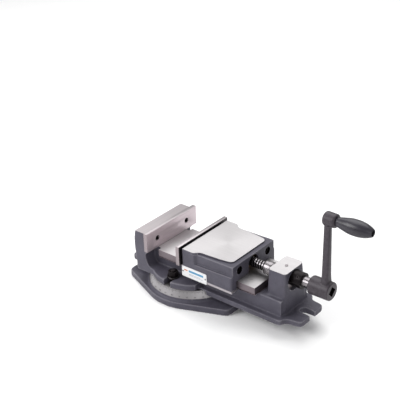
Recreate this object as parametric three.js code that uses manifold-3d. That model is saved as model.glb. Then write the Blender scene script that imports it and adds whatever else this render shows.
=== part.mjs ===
// A machine vise with 160 mm jaws on a swivel base, for milling machines.
// Units are millimetres. +X runs along the screw towards the crank, +Z is up.
// The origin is on the swivel axis, on the underside of the base.

import * as THREE from 'three';
import { mergeVertices } from 'three/addons/utils/BufferGeometryUtils.js';
import Module from 'manifold-3d';

const wasm = await Module();
wasm.setup();

// Driving dimensions

const GAP = 0.3;                // clearance between pieces that meet
const ROUND = 40;               // sides of a large turned piece
const SMALL_ROUND = 16;         // sides of a screw or a bolt

const JAW_WIDTH = 160;
const JAW_TOP = 134.5;          // height of the jaw plates' top edge above the table
const PLATE_HEIGHT = 43;
const PLATE_THICKNESS = 9;
const FIXED_FACE_X = -59;       // gripping face of the fixed jaw plate
const OPENING = 79;             // distance between the jaw plates as stored
const CAST_WIDTH = 148;         // width of both jaw castings
const PLATE_SCREW_Y = 47;
const PLATE_SCREW_Z = 112.8;
const PLATE_SCREW_RADIUS = 3;   // fixed jaw plate
const PLATE_HEAD_RADIUS = 5.2;
const LONG_BOLT_RADIUS = 5;     // through the moving jaw into its plate
const LONG_HEAD_RADIUS = 8;
const SOCKET_BORE_EXTRA = 0.7;  // counterbore radius over the head's radius

const SCREW_HEIGHT = 109;
const THREAD_RADIUS = 10;
const JOURNAL_RADIUS = 11;
const SCREW_TIP_X = 54.5;
const THREAD_END_X = 189;
const THRUST_RADIUS = 14.5;     // collar and ball bearing in front of the housing
const REAR_COLLAR_RADIUS = 16.6;
const REAR_COLLAR_END_X = 279;
const SET_SCREW_X = 270;
const SET_SCREW_TURN = 42;      // degrees from upright towards the near side
const JOURNAL_END_X = 296;
const SQUARE_END_X = 331;

const BASE_RADIUS = 105.5;
const BASE_FLANGE = 14.5;
const BAND_LOW_RADIUS = 97;     // the graduated band narrows upwards
const BAND_TOP_RADIUS = 90;
const BAND_LOW_Z = 21.5;
const BASE_TOP = 36.5;
const LUG_END_X = 136;
const LUG_HALF_WIDTH = 59;
const SLOT_WIDTH = 18;
const CLAMP_RADIUS = 68;        // circle of the two clamp bolts
const POST_RADIUS = 20;
const STUD_RADIUS = 6;
const CLAMP_NUT_CORNER = 11;    // corner radius of a 19 mm nut
const CLAMP_NUT_BOTTOM = 54;
const CLAMP_NUT_HEIGHT = 10;

const FLANGE_BOTTOM = 29.3;     // straight flange of the bed
const FLANGE_TOP = 41;
const FLANGE_HALF_WIDTH = 58.5;
const PLATFORM_RADIUS = 90.5;
const PLATFORM_TOP = 50.5;
const BED_HALF_WIDTH = 46;
const CORE_HALF_WIDTH = 26;     // hollow in the bed, open below
const CORE_TOP = 70;
const POST_BORE_TOP = 50;
const RAIL_BOTTOM = 74.7;
const RAIL_TOP = 91.1;
const RAIL_HALF_WIDTH = 55.3;
const RAIL_START_X = -48;
const RAIL_END_X = 201;

const HOUSING_FRONT_X = 215.5;
const HOUSING_BACK_X = 256.5;
const HOUSING_TOP = 129.3;
const RECESS_FLOOR_X = 250;     // floor of the round recess behind the housing
const RECESS_RADIUS = 22;
const RECESS_HEIGHT = 104.5;    // lower than the screw, so that it stays clear of the ground top
const HOUSING_BORE_RADIUS = 15.3;
const OILER_X = 237.6;
const FORK_SLOT_DEPTH = 19;
const FORK_PAD_RADIUS = 18;
const BODY_FRONT_X = 300;
const BODY_BACK_X = -143;

const JAW_LENGTH = 129;         // moving jaw casting, behind its plate
const JAW_CAST_TOP = 130.7;
const SHOULDER_TOP = 127;       // lower top surface round the moving jaw's ground pad
const SHOULDER_START = 42;      // where the full-width front part ends, behind the plate's face
const PAD_HALF_WIDTH = 63.5;    // the pad narrows towards the screw
const PAD_END_HALF_WIDTH = 56;
const PAD_END_X = 127.5;
const SETBACK = 4.8;            // the upper side walls stand back by this much
const LEDGE_HEIGHT = 104;       // at the front; the ledge rises towards the screw
const LEDGE_END_HEIGHT = 107.6;
const GROOVE_LENGTH = 3.5;      // relief groove behind the moving plate
const KEEPER_BOTTOM = 69.6;
const KEEPER_SCREW_X = [30, 74, 118];
const KEEPER_SCREW_Y = 65.5;
const NUT_FRONT_X = 98.3;       // where the nut starts, behind the jaw plate's face
const NUT_TOP = 122;
const NUT_SCREW_OFFSET = 16.5;
const NUT_SCREW_Y = 27;

const HUB_START_X = 296.3;
const HUB_END_X = 343;
const HUB_RADIUS = 19;
const SQUARE_SIZE = 15.6;
const ARM_X = 329;
const CRANK_RADIUS = 154;
const BOSS_RADIUS = 14.3;
const BOSS_START_X = 322;
const BOSS_END_X = 348.5;
const GRIP_END_X = 423;
const GRIP_BOLT_RADIUS = 5;
const GRIP_HEAD_RADIUS = 5.8;
const GRIP_HEAD_X = 416;

// Solids: every shape becomes a manifold so that it can be joined and cut

function solid(geometry) {
  const bare = geometry.clone();
  bare.deleteAttribute('normal');
  bare.deleteAttribute('uv');
  const merged = mergeVertices(bare, 1e-4);
  const index = merged.index ? merged.index.array : merged.attributes.position.array.map((_, i) => i);
  return new wasm.Manifold(new wasm.Mesh({
    numProp: 3,
    vertProperties: new Float32Array(merged.attributes.position.array),
    triVerts: new Uint32Array(index),
  }));
}

function union(...solids) {
  return solids.reduce((total, next) => total.add(next));
}

function cut(body, ...tools) {
  return tools.reduce((total, next) => total.subtract(next), body);
}

function box(x0, x1, y0, y1, z0, z1) {
  const geometry = new THREE.BoxGeometry(x1 - x0, y1 - y0, z1 - z0);
  geometry.translate((x0 + x1) / 2, (y0 + y1) / 2, (z0 + z1) / 2);
  return solid(geometry);
}

// A box on one side of the middle plane, between two distances from it
function sideBox(side, x0, x1, inner, outer, z0, z1) {
  return box(x0, x1, Math.min(side * inner, side * outer), Math.max(side * inner, side * outer), z0, z1);
}

// Turned shapes: profile is a list of [radius, distance along the axis]

function turnedZ(profile, sides = ROUND) {
  const points = profile.map(([radius, height]) => new THREE.Vector2(radius, height));
  const geometry = new THREE.LatheGeometry(points, sides);
  geometry.rotateX(Math.PI / 2);
  return solid(geometry);
}

function turnedX(profile, y = 0, z = 0, sides = ROUND) {
  const points = profile.map(([radius, along]) => new THREE.Vector2(radius, along));
  const geometry = new THREE.LatheGeometry(points, sides);
  geometry.rotateZ(-Math.PI / 2);
  geometry.translate(0, y, z);
  return solid(geometry);
}

function rodZ(radius, z0, z1, x = 0, y = 0, sides = SMALL_ROUND) {
  const geometry = new THREE.CylinderGeometry(radius, radius, z1 - z0, sides);
  geometry.rotateX(Math.PI / 2);
  geometry.translate(x, y, (z0 + z1) / 2);
  return solid(geometry);
}

function rodX(radius, x0, x1, y = 0, z = 0, sides = SMALL_ROUND) {
  const geometry = new THREE.CylinderGeometry(radius, radius, x1 - x0, sides);
  geometry.rotateZ(Math.PI / 2);
  geometry.translate((x0 + x1) / 2, y, z);
  return solid(geometry);
}

function ringX(inner, outer, x0, x1) {
  return cut(rodX(outer, x0, x1, 0, 0, ROUND), rodX(inner, x0 - 1, x1 + 1, 0, 0, ROUND));
}

// Prisms from an outline whose corners [x, y, radius] are rounded

function outline(corners) {
  const shape = new THREE.Shape();
  const count = corners.length;
  corners.forEach(([x, y, radius = 0], i) => {
    const here = new THREE.Vector2(x, y);
    const before = new THREE.Vector2(...corners[(i + count - 1) % count]);
    const after = new THREE.Vector2(...corners[(i + 1) % count]);
    const start = here.clone().add(before.sub(here).setLength(radius));
    const end = here.clone().add(after.sub(here).setLength(radius));
    if (i === 0) {
      shape.moveTo(start.x, start.y);
    } else {
      shape.lineTo(start.x, start.y);
    }
    if (radius > 0) {
      shape.quadraticCurveTo(x, y, end.x, end.y);
    }
  });
  shape.closePath();
  return shape;
}

function prismZ(shape, z0, z1, curveSegments = 5) {
  const geometry = new THREE.ExtrudeGeometry(shape, { depth: z1 - z0, bevelEnabled: false, curveSegments });
  geometry.translate(0, 0, z0);
  return solid(geometry);
}

// The outline is drawn in X and Z and runs along Y
function prismY(shape, y0, y1, curveSegments = 5) {
  const geometry = new THREE.ExtrudeGeometry(shape, { depth: y1 - y0, bevelEnabled: false, curveSegments });
  geometry.rotateX(Math.PI / 2);
  geometry.translate(0, y1, 0);
  return solid(geometry);
}

// A skin over equal rings of points, closed at both ends
function loft(rings) {
  const positions = rings.flat().flatMap((point) => [point.x, point.y, point.z]);
  const sides = rings[0].length;
  const last = (rings.length - 1) * sides;
  const index = [];
  for (let ring = 0; ring < rings.length - 1; ring += 1) {
    for (let side = 0; side < sides; side += 1) {
      const a = ring * sides + side;
      const b = ring * sides + ((side + 1) % sides);
      index.push(a, b, b + sides, a, b + sides, a + sides);
    }
  }
  for (let side = 1; side < sides - 1; side += 1) {
    index.push(0, side + 1, side);
    index.push(last, last + side, last + side + 1);
  }
  const geometry = new THREE.BufferGeometry();
  geometry.setAttribute('position', new THREE.Float32BufferAttribute(positions, 3));
  geometry.setIndex(index);
  return solid(geometry);
}

// Four-sided section with well rounded corners, for a forged bar
function barRing(halfX, halfY, x, z, sides = 24) {
  const soften = (value) => Math.sign(value) * Math.sqrt(Math.abs(value));
  return Array.from({ length: sides }, (_, i) => {
    const angle = ((i + 0.5) / sides) * 2 * Math.PI;
    return new THREE.Vector3(x + halfX * soften(Math.cos(angle)), halfY * soften(Math.sin(angle)), z);
  });
}

// Materials

function material(color, roughness, metalness) {
  return new THREE.MeshStandardMaterial({ color, roughness, metalness });
}

const castPaint = () => material('#5d5c66', 0.55, 0.1);
const groundSteel = () => material('#cfc9ca', 0.35, 0.9);
const plainSteel = () => material('#b9b6b8', 0.3, 0.95);
const blackSteel = () => material('#2a272b', 0.45, 0.6);
const bronze = () => material('#a9814a', 0.4, 0.85);
const labelWhite = () => material('#e9e7e4', 0.4, 0.3);

function named(name, shape, surface, x = 0, y = 0, z = 0) {
  const mesh = shape.getMesh();
  const geometry = new THREE.BufferGeometry();
  geometry.setAttribute('position', new THREE.BufferAttribute(mesh.vertProperties, 3));
  geometry.setIndex(new THREE.BufferAttribute(mesh.triVerts, 1));
  geometry.computeVertexNormals();
  const node = new THREE.Mesh(geometry, surface);
  node.name = name;
  node.position.set(x, y, z);
  return node;
}

const SIDES = { near: -1, far: 1 };

// Swivel base

function slotTool(endX, depth, width, z0, z1) {
  const inner = endX - Math.sign(endX) * depth;
  const x0 = Math.min(inner, endX + Math.sign(endX) * 20);
  const x1 = Math.max(inner, endX + Math.sign(endX) * 20);
  return union(box(x0, x1, -width / 2, width / 2, z0, z1), rodZ(width / 2, z0, z1, inner, 0, SMALL_ROUND));
}

// Two wide lugs whose flanks run tangent to the round base
function baseOutline() {
  const reach = Math.hypot(LUG_END_X, LUG_HALF_WIDTH);
  const tangent = Math.atan2(LUG_HALF_WIDTH, LUG_END_X) + Math.acos(BASE_RADIUS / reach);
  const corner = 9;
  const shape = new THREE.Shape();
  const flank = new THREE.Vector2(
    BASE_RADIUS * Math.cos(tangent) - LUG_END_X,
    BASE_RADIUS * Math.sin(tangent) - LUG_HALF_WIDTH,
  ).setLength(corner);
  shape.moveTo(LUG_END_X, -LUG_HALF_WIDTH + corner);
  shape.lineTo(LUG_END_X, LUG_HALF_WIDTH - corner);
  shape.quadraticCurveTo(LUG_END_X, LUG_HALF_WIDTH, LUG_END_X + flank.x, LUG_HALF_WIDTH + flank.y);
  shape.absarc(0, 0, BASE_RADIUS, tangent, Math.PI - tangent, false);
  shape.lineTo(-LUG_END_X - flank.x, LUG_HALF_WIDTH + flank.y);
  shape.quadraticCurveTo(-LUG_END_X, LUG_HALF_WIDTH, -LUG_END_X, LUG_HALF_WIDTH - corner);
  shape.lineTo(-LUG_END_X, -LUG_HALF_WIDTH + corner);
  shape.quadraticCurveTo(-LUG_END_X, -LUG_HALF_WIDTH, -LUG_END_X - flank.x, -LUG_HALF_WIDTH - flank.y);
  shape.absarc(0, 0, BASE_RADIUS, Math.PI + tangent, -tangent, false);
  shape.lineTo(LUG_END_X + flank.x, -LUG_HALF_WIDTH - flank.y);
  shape.quadraticCurveTo(LUG_END_X, -LUG_HALF_WIDTH, LUG_END_X, -LUG_HALF_WIDTH + corner);
  return shape;
}

function swivelBase() {
  const foot = prismZ(baseOutline(), 0, BASE_FLANGE, 12);
  const hub = turnedZ([
    [0, BASE_FLANGE - 4],
    [102, BASE_FLANGE - 4],
    [102, BASE_FLANGE],
    [98.5, BASE_FLANGE + 2.5],
    [BAND_LOW_RADIUS, BAND_LOW_Z],
    [BAND_TOP_RADIUS, BASE_TOP],
    [0, BASE_TOP],
  ], 64);
  const boltSlot = turnedZ([
    [CLAMP_RADIUS - 14, 12],
    [CLAMP_RADIUS + 14, 12],
    [CLAMP_RADIUS + 14, 24.6],
    [CLAMP_RADIUS + 8.7, 24.6],
    [CLAMP_RADIUS + 8.7, BASE_TOP + 1],
    [CLAMP_RADIUS - 8.7, BASE_TOP + 1],
    [CLAMP_RADIUS - 8.7, 24.6],
    [CLAMP_RADIUS - 14, 24.6],
    [CLAMP_RADIUS - 14, 12],
  ], 48);
  const postHole = rodZ(POST_RADIUS + GAP, 14, BASE_TOP + 1, 0, 0, ROUND);
  const entry = rodZ(17.5, -1, 13, CLAMP_RADIUS * Math.SQRT1_2, CLAMP_RADIUS * Math.SQRT1_2, 20);
  const endSlots = [1, -1].map((end) => slotTool(end * LUG_END_X, 27, SLOT_WIDTH, -1, BASE_FLANGE + 1));
  return cut(union(foot, hub), boltSlot, postHole, entry, ...endSlots);
}

function baseGroup() {
  const group = new THREE.Group();
  group.add(named('swivel_base', swivelBase(), castPaint()));
  const post = turnedZ([[0, 0], [19, 0], [POST_RADIUS, 1], [POST_RADIUS, 33.5], [19, 34.5], [0, 34.5]]);
  group.add(named('pivot_post', post, plainSteel(), 0, 0, 14 + GAP));
  return group;
}

// Vise body: bed, fixed jaw and screw housing in one casting

function flangeOutline() {
  const half = FLANGE_HALF_WIDTH;
  return outline([
    [BODY_BACK_X, -40, 8],
    [-112, -43, 10],
    [-97, -half, 6],
    [263, -half, 5],
    [266, -44, 12],
    [BODY_FRONT_X, -39, 9],
    [BODY_FRONT_X, 39, 9],
    [266, 44, 12],
    [263, half, 5],
    [-97, half, 6],
    [-112, 43, 10],
    [BODY_BACK_X, 40, 8],
  ]);
}

// Side view of the fixed jaw, with the round cut-out in front of it
function fixedJawOutline() {
  return outline([
    [-98, JAW_CAST_TOP, 2],
    [-102.5, 106, 14],
    [-97, 36.8],
    [-40, 36.8],
    [-40, PLATFORM_TOP],
    [-62, PLATFORM_TOP, 9],
    [-71.5, 68, 10],
    [-71.5, 80, 2],
    [-68, 84, 2],
    [-68, JAW_CAST_TOP],
  ]);
}

// Four-sided block with rounded upright edges that leans in towards the top
function housingBlock() {
  const corner = 7;
  const ring = (halfY, backX, z) => {
    const shape = outline([
      [HOUSING_FRONT_X, -halfY, corner],
      [backX, -halfY, corner],
      [backX, halfY, corner],
      [HOUSING_FRONT_X, halfY, corner],
    ]);
    return shape.getPoints(4).slice(0, -1).map((point) => new THREE.Vector3(point.x, point.y, z));
  };
  return loft([ring(40, HOUSING_BACK_X + 2.5, FLANGE_TOP - 1), ring(31, HOUSING_BACK_X, HOUSING_TOP)]);
}

function viseBody() {
  const platform = rodZ(PLATFORM_RADIUS, BASE_TOP + GAP, PLATFORM_TOP, 0, 0, 64)
    .intersect(box(-95, 59, -95, 95, 30, 60));
  const flange = prismZ(flangeOutline(), FLANGE_BOTTOM, FLANGE_TOP);
  const overBase = rodZ(98.5, 20, BASE_TOP + GAP, 0, 0, 64);
  const bed = union(
    box(-90, HOUSING_BACK_X, -BED_HALF_WIDTH, BED_HALF_WIDTH, FLANGE_TOP - 1, RAIL_BOTTOM + 1),
    box(-90, RAIL_END_X, -BED_HALF_WIDTH, BED_HALF_WIDTH, RAIL_BOTTOM, RAIL_TOP),
  );
  const rails = box(RAIL_START_X, RAIL_END_X, -RAIL_HALF_WIDTH, RAIL_HALF_WIDTH, RAIL_BOTTOM, RAIL_TOP);
  const half = CAST_WIDTH / 2;
  const fixedJaw = prismY(fixedJawOutline(), -half, half);
  const padX = BODY_FRONT_X - FORK_SLOT_DEPTH;
  const lugPad = rodZ(FORK_PAD_RADIUS, FLANGE_TOP - 1, FLANGE_TOP + 1.5, padX, 0, 28);
  const lowerParts = cut(union(flange, fixedJaw), overBase);
  const solidBody = union(lowerParts, platform, bed, rails, housingBlock(), lugPad);

  const core = box(106, 208, -CORE_HALF_WIDTH, CORE_HALF_WIDTH, FLANGE_BOTTOM - 1, CORE_TOP);
  const postBore = rodZ(POST_RADIUS + GAP, 20, POST_BORE_TOP, 0, 0, ROUND);
  const screwBore = rodX(HOUSING_BORE_RADIUS, HOUSING_FRONT_X - 5, HOUSING_BACK_X, 0, SCREW_HEIGHT, ROUND);
  const recess = rodX(RECESS_RADIUS, RECESS_FLOOR_X, HOUSING_BACK_X + 20, 0, RECESS_HEIGHT, ROUND);
  const oilHole = rodZ(2.4 + GAP, SCREW_HEIGHT + 14, HOUSING_TOP + 1, OILER_X, 0, 12);
  const forkSlots = [
    slotTool(BODY_FRONT_X, FORK_SLOT_DEPTH, SLOT_WIDTH, FLANGE_BOTTOM - 1, FLANGE_TOP + 3),
    slotTool(BODY_BACK_X, FORK_SLOT_DEPTH, SLOT_WIDTH, FLANGE_BOTTOM - 1, FLANGE_TOP + 3),
  ];
  const clampSlots = Object.values(SIDES).map((side) => union(
    sideBox(side, -8.5, 8.5, CLAMP_RADIUS, 95, 30, 55),
    rodZ(8.5, 30, 55, 0, side * CLAMP_RADIUS),
  ));
  const plateHoles = Object.values(SIDES)
    .map((side) => rodX(PLATE_SCREW_RADIUS + GAP, -90, -60, side * PLATE_SCREW_Y, PLATE_SCREW_Z));
  return cut(
    solidBody, core, postBore, screwBore, recess, oilHole, ...forkSlots, ...clampSlots, ...plateHoles,
  );
}

// Screws along X: the head is at the +X end when flip is 1, at the -X end when it is -1
function socketScrewX(radius, length, headRadius, headLength, flip = 1) {
  const total = length + headLength;
  const body = turnedX([
    [0, 0], [radius, 0], [radius, length], [headRadius, length], [headRadius, total], [0, total],
  ], 0, 0, SMALL_ROUND);
  const socket = rodX(radius * 0.6, total - headLength * 0.55, total + 1, 0, 0, 6);
  const screw = cut(body, socket);
  return flip === 1 ? screw : screw.rotate([0, 180, 0]);
}

function socketScrewZ(radius, length, headRadius, headLength) {
  return socketScrewX(radius, length, headRadius, headLength).rotate([0, 90, 0]);
}

function jawPlate(counterbored) {
  const half = JAW_WIDTH / 2;
  const plate = box(0, PLATE_THICKNESS - GAP, -half, half, JAW_TOP - PLATE_HEIGHT, JAW_TOP);
  const holes = Object.values(SIDES).map((side) => {
    const y = side * PLATE_SCREW_Y;
    return counterbored
      ? union(
        rodX(PLATE_SCREW_RADIUS + GAP, -1, 20, y, PLATE_SCREW_Z),
        rodX(PLATE_HEAD_RADIUS + SOCKET_BORE_EXTRA, 2.5, 20, y, PLATE_SCREW_Z, 24),
      )
      : rodX(LONG_BOLT_RADIUS + GAP, 2, 20, y, PLATE_SCREW_Z);
  });
  return cut(plate, ...holes);
}

function clampBolt() {
  const head = box(-12, 12, -12, 12, 0, 9.5);
  return union(head, rodZ(STUD_RADIUS, 9, 52, 0, 0, 20));
}

function clampWasher() {
  return cut(rodZ(13.4, 0, 2.7, 0, 0, 24), rodZ(STUD_RADIUS + GAP, -1, 4, 0, 0, 20));
}

function clampNut() {
  const bore = rodZ(STUD_RADIUS + GAP, -1, CLAMP_NUT_HEIGHT + 1, 0, 0, 20);
  return cut(rodZ(CLAMP_NUT_CORNER, 0, CLAMP_NUT_HEIGHT, 0, 0, 6), bore);
}

function oilFitting() {
  return turnedZ([[0, 0], [2.4, 0], [2.4, 4.8], [3.3, 5], [3.3, 5.4], [1.6, 5.8], [0, 5.8]], 12);
}

function turntableGroup() {
  const group = new THREE.Group();
  group.add(named('vise_body', viseBody(), castPaint()));
  group.add(named('fixed_jaw_plate', jawPlate(true), groundSteel(), FIXED_FACE_X - PLATE_THICKNESS + GAP));
  for (const [name, side] of Object.entries(SIDES)) {
    const y = side * PLATE_SCREW_Y;
    const plateScrew = socketScrewX(PLATE_SCREW_RADIUS, 20, PLATE_HEAD_RADIUS, 4);
    group.add(named(`fixed_plate_screw_${name}`, plateScrew, blackSteel(), -84.9, y, PLATE_SCREW_Z));
    const clampY = side * CLAMP_RADIUS;
    group.add(named(`t_bolt_${name}`, clampBolt(), blackSteel(), 0, clampY, 14.5));
    group.add(named(`clamp_washer_${name}`, clampWasher(), plainSteel(), 0, clampY, PLATFORM_TOP + GAP));
    group.add(named(`clamp_nut_${name}`, clampNut(), blackSteel(), 0, clampY, CLAMP_NUT_BOTTOM));
  }
  const bushRadius = HOUSING_BORE_RADIUS - GAP;
  const bush = ringX(JOURNAL_RADIUS + GAP, bushRadius, HOUSING_FRONT_X + 0.5, RECESS_FLOOR_X - 0.5);
  group.add(named('screw_bushing', bush, bronze(), 0, 0, SCREW_HEIGHT));
  const race = ringX(JOURNAL_RADIUS + GAP, THRUST_RADIUS, 0, 2.6);
  group.add(named('thrust_race_housing', race, plainSteel(), HOUSING_FRONT_X - 2.9, 0, SCREW_HEIGHT));
  group.add(named('oil_fitting', oilFitting(), plainSteel(), OILER_X, 0, HOUSING_TOP - 4.7 + GAP));
  return group;
}

// Moving jaw, drawn with its plate's gripping face at x = 0

function movingJaw() {
  const half = CAST_WIDTH / 2;
  const back = PLATE_THICKNESS + JAW_LENGTH;
  const plan = outline([
    [PLATE_THICKNESS, -half],
    [back, -half, 6],
    [back, half, 6],
    [PLATE_THICKNESS, half],
  ]);
  const block = prismZ(plan, RAIL_BOTTOM, SHOULDER_TOP);
  const nearPad = [
    [PLATE_THICKNESS, -half],
    [SHOULDER_START, -half, 5],
    [SHOULDER_START + 9, -PAD_HALF_WIDTH, 5],
    [100, -PAD_HALF_WIDTH + 3, 14],
    [PAD_END_X, -PAD_END_HALF_WIDTH, 9],
  ];
  const farPad = nearPad.map(([x, y, radius]) => [x, -y, radius]).reverse();
  const topPad = prismZ(outline([...nearPad, ...farPad]), SHOULDER_TOP - 1, JAW_CAST_TOP);
  const grooveEnd = PLATE_THICKNESS + GROOVE_LENGTH;
  const grooves = [
    box(PLATE_THICKNESS - 1, grooveEnd, -80, 80, JAW_CAST_TOP - 7, 140),
    ...Object.values(SIDES)
      .map((side) => sideBox(side, PLATE_THICKNESS - 1, grooveEnd, half - 4, 80, 60, 140)),
  ];
  const overLedge = prismY(outline([
    [SHOULDER_START, LEDGE_HEIGHT],
    [back + 1, LEDGE_END_HEIGHT],
    [back + 1, 140],
    [SHOULDER_START, 140],
  ]), -90, 90);
  const betweenWalls = prismZ(outline([
    [SHOULDER_START, -half],
    [SHOULDER_START + 6, SETBACK - half],
    [back + 2, SETBACK - half],
    [back + 2, half - SETBACK],
    [SHOULDER_START + 6, half - SETBACK],
    [SHOULDER_START, half],
  ]), 90, 141);
  const setback = cut(overLedge, betweenWalls);
  const overRails = box(0, back + 1, -57, 57, 60, RAIL_TOP + GAP);
  const screwSpace = box(21, 99, -30, 30, 80, 124);
  const nutSpace = box(98, back - 6, -22 - GAP, 22 + GAP, 80, NUT_TOP + GAP);
  const earSpace = box(98, back - 6, -34 - GAP, 34 + GAP, 80, 108 + GAP);
  const rearArch = union(
    rodX(16, back - 10, back + 1, 0, SCREW_HEIGHT, 32),
    box(back - 10, back + 1, -16, 16, 80, SCREW_HEIGHT),
  );
  const tipBore = rodX(14.5, 0, 25, 0, SCREW_HEIGHT, 32);
  const headBore = LONG_HEAD_RADIUS + SOCKET_BORE_EXTRA;
  const boltHoles = Object.values(SIDES).map((side) => union(
    rodX(LONG_BOLT_RADIUS + GAP, 0, back + 1, side * PLATE_SCREW_Y, PLATE_SCREW_Z),
    rodX(headBore, back - 14, back + 1, side * PLATE_SCREW_Y, PLATE_SCREW_Z, 24),
  ));
  const nutScrewX = NUT_FRONT_X + NUT_SCREW_OFFSET;
  const nutScrewHoles = Object.values(SIDES)
    .map((side) => rodZ(4 + GAP, 100, 122, nutScrewX, side * NUT_SCREW_Y, 12));
  const keeperHoles = KEEPER_SCREW_X.flatMap((x) => Object.values(SIDES)
    .map((side) => rodZ(4 + GAP, 60, 91, x, side * KEEPER_SCREW_Y, 12)));
  return cut(
    union(cut(block, setback), topPad), ...grooves, overRails, screwSpace, nutSpace, earSpace,
    rearArch, tipBore, ...boltHoles, ...nutScrewHoles, ...keeperHoles,
  );
}

function screwNut() {
  const block = box(0, 31, -22, 22, 93, NUT_TOP);
  const ears = box(0, 31, -34, 34, 93, 108);
  const thread = rodX(THREAD_RADIUS + GAP, -1, 32, 0, SCREW_HEIGHT, ROUND);
  const screwHoles = Object.values(SIDES).map((side) => union(
    rodZ(4 + GAP, 90, 130, NUT_SCREW_OFFSET, side * NUT_SCREW_Y, 12),
    rodZ(6.8, 90, 102.2, NUT_SCREW_OFFSET, side * NUT_SCREW_Y),
  ));
  return cut(union(block, ears), thread, ...screwHoles);
}

function keeper(side) {
  const strip = sideBox(
    side, PLATE_THICKNESS + GAP, PLATE_THICKNESS + JAW_LENGTH, 48, 73.7, KEEPER_BOTTOM, RAIL_BOTTOM - GAP,
  );
  const countersink = turnedZ([
    [0, KEEPER_BOTTOM - 1],
    [7.6, KEEPER_BOTTOM - 1],
    [7.6, KEEPER_BOTTOM + 0.4],
    [4 + GAP, KEEPER_BOTTOM + 3.7],
    [0, KEEPER_BOTTOM + 3.7],
  ], 12);
  const holes = KEEPER_SCREW_X.map((x) => union(
    rodZ(4 + GAP, 60, 80, x, side * KEEPER_SCREW_Y, 12),
    countersink.translate([x, side * KEEPER_SCREW_Y, 0]),
  ));
  return cut(strip, ...holes);
}

function countersunkScrew() {
  const body = turnedZ([[0, 0], [7, 0], [7, 0.3], [4, 3.3], [4, 19.5], [0, 19.5]], 12);
  return cut(body, rodZ(2.4, -1, 2.2, 0, 0, 6));
}

function rivet() {
  return turnedX([[0, 0], [1.6, 0], [1.6, 0.3], [0.9, 1.1], [0, 1.3]], 0, 0, 8).rotate([0, 0, -90]);
}

function jawGroup() {
  const group = new THREE.Group();
  group.position.x = FIXED_FACE_X + OPENING;
  group.add(named('moving_jaw', movingJaw(), castPaint()));
  group.add(named('moving_jaw_plate', jawPlate(false), groundSteel()));
  group.add(named('screw_nut', screwNut(), bronze(), NUT_FRONT_X));
  const label = box(11, 75.5, -75.1, -CAST_WIDTH / 2 - GAP, 68.5, 92.5);
  group.add(named('label_plate', label, labelWhite()));
  [['front', 14], ['rear', 72.5]].forEach(([name, x]) => {
    group.add(named(`label_rivet_${name}`, rivet(), plainSteel(), x, -75.1 - GAP, 80.5));
  });
  for (const [name, side] of Object.entries(SIDES)) {
    const plateBolt = socketScrewX(LONG_BOLT_RADIUS, 119.5, LONG_HEAD_RADIUS, 10);
    const boltY = side * PLATE_SCREW_Y;
    group.add(named(`jaw_plate_bolt_${name}`, plateBolt, blackSteel(), 4.7, boltY, PLATE_SCREW_Z));
    const nutScrew = socketScrewZ(4, 19, 6.5, 7.5);
    const nutScrewX = NUT_FRONT_X + NUT_SCREW_OFFSET;
    group.add(named(`nut_screw_${name}`, nutScrew, blackSteel(), nutScrewX, side * NUT_SCREW_Y, 121));
    group.add(named(`keeper_${name}`, keeper(side), groundSteel()));
    KEEPER_SCREW_X.forEach((x, i) => {
      const screw = countersunkScrew();
      const screwName = `keeper_screw_${name}_${i + 1}`;
      group.add(named(screwName, screw, blackSteel(), x, side * KEEPER_SCREW_Y, KEEPER_BOTTOM + GAP));
    });
  }
  return group;
}

// Screw, drawn along X at z = 0

function leadScrew() {
  const tipTaper = 2;
  const turned = turnedX([
    [0, SCREW_TIP_X],
    [THREAD_RADIUS - tipTaper, SCREW_TIP_X],
    [THREAD_RADIUS, SCREW_TIP_X + tipTaper],
    [THREAD_RADIUS, THREAD_END_X],
    [JOURNAL_RADIUS, THREAD_END_X + 1],
    [JOURNAL_RADIUS, JOURNAL_END_X],
    [0, JOURNAL_END_X],
  ]);
  const half = SQUARE_SIZE / 2;
  const square = box(JOURNAL_END_X - 6, SQUARE_END_X, -half, half, -half, half).rotate([45, 0, 0]);
  return union(turned, square);
}

function rearCollar() {
  const ring = ringX(JOURNAL_RADIUS + GAP, REAR_COLLAR_RADIUS, RECESS_FLOOR_X + 0.5, REAR_COLLAR_END_X);
  return cut(ring, rodZ(3 + GAP, 9, 25, SET_SCREW_X, 0, 12).rotate([SET_SCREW_TURN, 0, 0]));
}

function setScrew() {
  const screw = cut(rodZ(3, 11.6, 15.5, SET_SCREW_X, 0, 12), rodZ(1.6, 13.5, 17, SET_SCREW_X, 0, 6));
  return screw.rotate([SET_SCREW_TURN, 0, 0]);
}

function screwGroup() {
  const group = new THREE.Group();
  group.position.z = SCREW_HEIGHT;
  group.add(named('lead_screw', leadScrew(), plainSteel()));
  const collar = ringX(JOURNAL_RADIUS + GAP, THRUST_RADIUS, THREAD_END_X + 1.5, 206.4);
  group.add(named('thrust_collar', collar, plainSteel()));
  const race = ringX(JOURNAL_RADIUS + GAP, THRUST_RADIUS, 206.7, 209.2);
  group.add(named('thrust_race_collar', race, plainSteel()));
  const ballRing = ringX(JOURNAL_RADIUS + 0.6, THRUST_RADIUS - 0.3, 209.6, 212.2);
  group.add(named('thrust_ball_ring', ballRing, bronze()));
  group.add(named('rear_collar', rearCollar(), blackSteel()));
  group.add(named('collar_set_screw', setScrew(), blackSteel()));
  return group;
}

// Crank, drawn with the screw's axis at z = 0

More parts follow.
